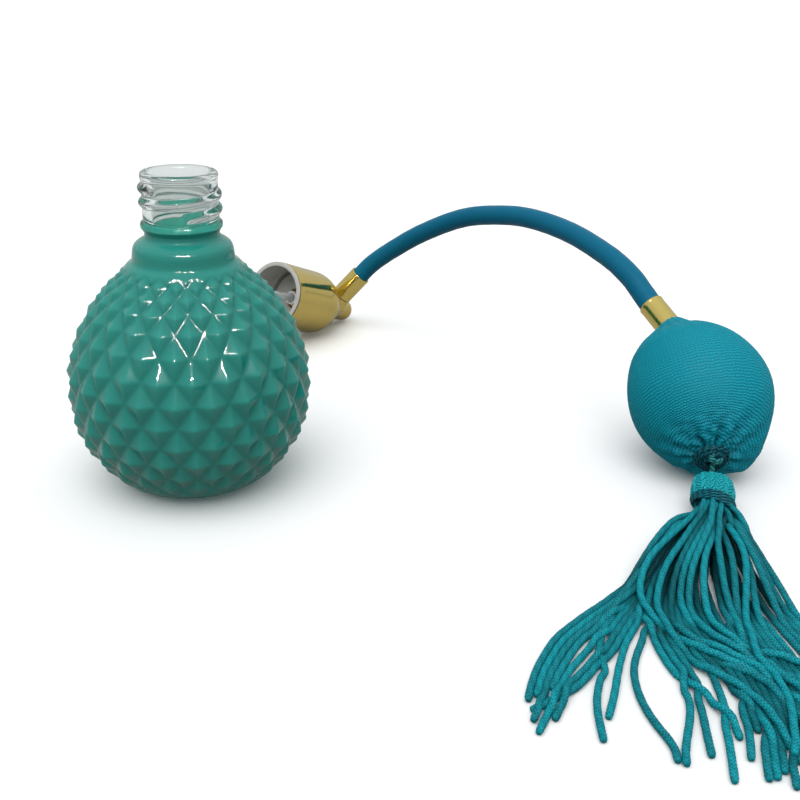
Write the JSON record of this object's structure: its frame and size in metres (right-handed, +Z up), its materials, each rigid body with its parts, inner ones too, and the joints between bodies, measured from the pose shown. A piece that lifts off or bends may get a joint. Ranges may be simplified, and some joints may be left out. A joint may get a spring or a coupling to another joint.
{
  "type": "perfume bottle",
  "caption": "Round facet-cut glass perfume bottle, open at its threaded neck, with its unscrewed bulb sprayer, hose and tassel lying beside it.",
  "frame": {"origin": "centre of the bottle's flat foot, on the table", "axes": "+Z up along the bottle, +X towards the bulb, +Y away from the front"},
  "size_m": [0.2073, 0.2781, 0.09],
  "materials": {
    "lacquered_glass": "gloss",
    "gold_metal": "polished",
    "brass_inside": "turned",
    "white_liner": "moulded",
    "white_plastic": "moulded",
    "clear_tube": "translucent",
    "pale_rubber": "matte",
    "black_rubber": "matte",
    "teal_hose": "satin",
    "teal_knit": "knitted",
    "teal_weave": "woven",
    "teal_thread": "wound",
    "teal_cord": "braided",
    "valve_steel": "polished"
  },
  "bodies": {
    "bottle": {"bottle_glass": "lacquered_glass"},
    "sprayer": {"head_core": "gold_metal", "turret_knob": "gold_metal", "neck_gasket": "pale_rubber", "pickup_stem": "white_plastic", "dip_tube": "clear_tube", "nozzle_tip": "gold_metal", "nozzle_jet": "brass_inside", "head_ferrule": "gold_metal", "hose_barb": "brass_inside", "hose": "teal_hose"},
    "screw_cap": {"cap_shell": "gold_metal", "cap_liner": "white_liner"},
    "bulb": {"bulb_ferrule": "gold_metal", "bulb_nipple": "white_plastic", "bulb_bladder": "black_rubber", "bulb_cover": "teal_knit", "inlet_valve_body": "white_plastic", "valve_retainer": "valve_steel", "cover_tie": "teal_thread"},
    "inlet_ball": {"inlet_valve_ball": "valve_steel"},
    "outlet_ball": {"outlet_valve_ball": "valve_steel"},
    "loop": {"tassel_loop": "teal_thread"},
    "tassel": {"tassel_head": "teal_weave", "tassel_binding": "teal_thread", "tassel_skirt": "teal_cord", "tassel_strand_outer": "teal_cord", "tassel_strand_second": "teal_cord", "tassel_strand_third": "teal_cord", "tassel_strand_short": "teal_cord", "tassel_strand_looped": "teal_cord"}
  },
  "joints": [
    {"name": "sprayer_lift", "type": "slide", "parent": "bottle", "child": "sprayer", "axis": [0, 0, 1], "range_m": [0, 0.12]},
    {"name": "cap_spin", "type": "hinge", "parent": "sprayer", "child": "screw_cap", "pos_m": [0.0107, 0.1099, 0.0222], "axis": [0.5173, 0.7695, -0.3746], "continuous": true},
    {"name": "hose_flex", "type": "hinge", "parent": "sprayer", "child": "bulb", "pos_m": [0.099, 0.096, 0.058], "axis": [0, 0, 1], "range_deg": [-15, 15], "stiffness_Nm_per_rad": 0.05, "deforming": ["hose"]},
    {"name": "bulb_squeeze", "type": "slide", "parent": "bulb", "child": "inlet_ball", "axis": [-0.02, -0.9021, -0.431], "range_m": [0, 0.0006], "stiffness_N_per_m": 50, "deforming": ["bulb_bladder", "bulb_cover"]},
    {"name": "outlet_valve_lift", "type": "slide", "parent": "bulb", "child": "outlet_ball", "axis": [-0.4803, 0.7204, 0.5003], "range_m": [0, 0.0006]},
    {"name": "tassel_swing", "type": "hinge", "parent": "bulb", "child": "loop", "pos_m": [0.1506, -0.008, 0.0125], "axis": [0, 0, 1], "range_deg": [-25, 25]},
    {"name": "tassel_lift", "type": "hinge", "parent": "loop", "child": "tassel", "pos_m": [0.1505, -0.0114, 0.0072], "axis": [-0.9727, 0.2322, 0], "range_deg": [0, 40]}
  ],
  "couplings": [
    {"joint": "outlet_valve_lift", "follows": "bulb_squeeze", "ratio": 1}
  ]
}
